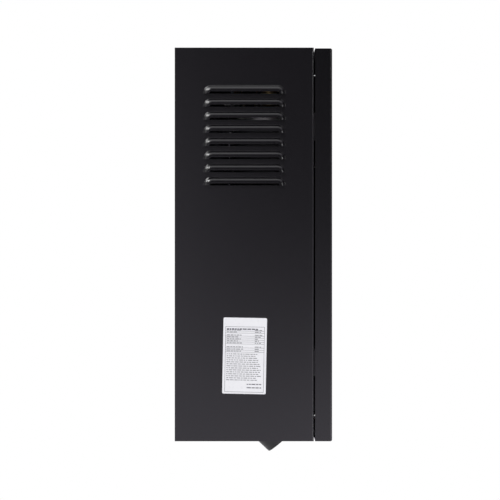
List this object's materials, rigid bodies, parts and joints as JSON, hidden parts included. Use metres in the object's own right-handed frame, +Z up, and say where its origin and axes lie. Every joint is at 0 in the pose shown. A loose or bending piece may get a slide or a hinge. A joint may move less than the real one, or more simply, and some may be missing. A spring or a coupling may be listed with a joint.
{
  "type": "electric boiler",
  "caption": "Wall-hung electric boiler: louvred sheet-metal cabinet, hinged door with control panel, tank with elements, pump, expansion vessel and pressure gauge.",
  "frame": {"origin": "on the wall plane, at the middle of the back panel's lower edge", "axes": "+Z up, -Y out of the wall towards the door, +X to the right seen from the front"},
  "size_m": [0.3812, 0.24, 0.6189],
  "materials": {
    "cabinet_paint": "fine-textured semi-matt black powder coat",
    "zinc_steel": "zinc-plated sheet steel",
    "bright_steel": "turned steel",
    "black_plastic": "fine-grained moulded plastic",
    "fascia_plastic": "gloss black moulding",
    "smoked_pane": "smoked clear plastic",
    "clear_pane": "clear plastic lens",
    "label_film": "satin white film",
    "dial_card": "white enamelled disc",
    "pointer_paint": "matt black",
    "vessel_paint": "red powder coat",
    "jacket_foam": "closed-cell foam sheet",
    "gasket_rubber": "moulded rubber",
    "tank_steel": "welded stainless steel",
    "element_steel": "bright tube",
    "brass": "machined brass",
    "copper": "drawn copper",
    "pump_casting": "painted casting",
    "motor_alloy": "die-cast alloy",
    "red_plastic": "red moulding",
    "button_plastic": "satin grey moulding",
    "board_laminate": "green circuit board",
    "pale_plastic": "pale grey moulding",
    "wire_sleeve": "brown wire sleeve"
  },
  "bodies": {
    "cabinet": {"wall_bracket": "zinc_steel", "back_panel": "cabinet_paint", "left_side_panel": "cabinet_paint", "right_side_panel": "cabinet_paint", "top_panel": "cabinet_paint", "bottom_panel": "cabinet_paint", "casing_screws": "zinc_steel", "hinge_ears": "zinc_steel", "hinge_pins": "bright_steel", "magnetic_catches": "black_plastic", "rating_label": "label_film", "cross_bars": "zinc_steel", "electronics_plate": "zinc_steel", "expansion_vessel": "vessel_paint", "vessel_pipe": "copper", "tank": "tank_steel", "tank_jacket": "jacket_foam", "tank_straps": "zinc_steel", "flange_gasket": "gasket_rubber", "element_flange": "tank_steel", "heating_elements": "element_steel", "flange_bolts": "zinc_steel", "element_links": "brass", "air_vent": "brass", "pump_volute": "pump_casting", "pump_motor": "motor_alloy", "pump_terminal_box": "black_plastic", "return_pipe": "copper", "supply_pipe": "copper", "pipe_nuts": "brass", "safety_manifold": "brass", "relief_valve": "brass", "relief_outlet": "copper", "temperature_sensor": "brass", "gauge_pod": "black_plastic", "gauge_bezel": "black_plastic", "gauge_lens": "clear_pane", "gauge_dial": "dial_card", "gauge_capillary": "copper", "control_board": "board_laminate", "contactors": "pale_plastic", "thermal_cutout": "black_plastic", "terminal_block": "pale_plastic", "earth_bar": "brass", "cable_glands": "black_plastic", "wiring": "wire_sleeve"},
    "door": {"front_door": "cabinet_paint", "catch_plates": "zinc_steel", "control_fascia": "fascia_plastic", "display_window": "smoked_pane", "display_board": "board_laminate"},
    "less_button": {"button_less": "button_plastic"},
    "more_button": {"button_more": "button_plastic"},
    "power_button": {"button_power": "red_plastic"},
    "pointer": {"gauge_pointer": "pointer_paint"},
    "rotor": {"pump_rotor": "bright_steel"},
    "speed_knob": {"pump_speed_knob": "red_plastic"},
    "valve_knob": {"relief_knob": "red_plastic"},
    "reset_pin": {"cutout_reset": "red_plastic"},
    "vent_cap": {"air_vent_cap": "black_plastic"}
  },
  "joints": [
    {"name": "door_hinge", "type": "hinge", "parent": "cabinet", "child": "door", "pos_m": [0.179, -0.224, 0.3], "axis": [0, 0, 1], "range_deg": [0, 105]},
    {"name": "less_press", "type": "slide", "parent": "door", "child": "less_button", "axis": [0, 1, 0], "range_m": [0, 0.0008], "stiffness_N_per_m": 1500, "springref_m": -0.0004},
    {"name": "more_press", "type": "slide", "parent": "door", "child": "more_button", "axis": [0, 1, 0], "range_m": [0, 0.0008], "stiffness_N_per_m": 1500, "springref_m": -0.0004},
    {"name": "power_press", "type": "slide", "parent": "door", "child": "power_button", "axis": [0, 1, 0], "range_m": [0, 0.0008], "stiffness_N_per_m": 1500, "springref_m": -0.0004},
    {"name": "gauge_turn", "type": "hinge", "parent": "cabinet", "child": "pointer", "pos_m": [-0.14, -0.1599, -0.0044], "axis": [0, 0.6428, 0.766], "range_deg": [0, 270], "stiffness_Nm_per_rad": 0.0002, "springref_deg": -17.19},
    {"name": "rotor_spin", "type": "hinge", "parent": "cabinet", "child": "rotor", "pos_m": [-0.075, -0.116, 0.12], "axis": [0, 1, 0], "continuous": true},
    {"name": "speed_turn", "type": "hinge", "parent": "cabinet", "child": "speed_knob", "pos_m": [-0.075, -0.2013, 0.18], "axis": [0, 1, 0], "range_deg": [0, 120]},
    {"name": "relief_turn", "type": "hinge", "parent": "cabinet", "child": "valve_knob", "pos_m": [0.005, -0.188, 0.15], "axis": [0, 1, 0], "range_deg": [0, 90]},
    {"name": "reset_press", "type": "slide", "parent": "cabinet", "child": "reset_pin", "axis": [0, 1, 0], "range_m": [0, 0.0015], "stiffness_N_per_m": 1000, "springref_m": -0.0005},
    {"name": "vent_cap_turn", "type": "hinge", "parent": "cabinet", "child": "vent_cap", "pos_m": [-0.075, -0.1473, 0.561], "axis": [0, 0, 1], "range_deg": [0, 180]}
  ]
}
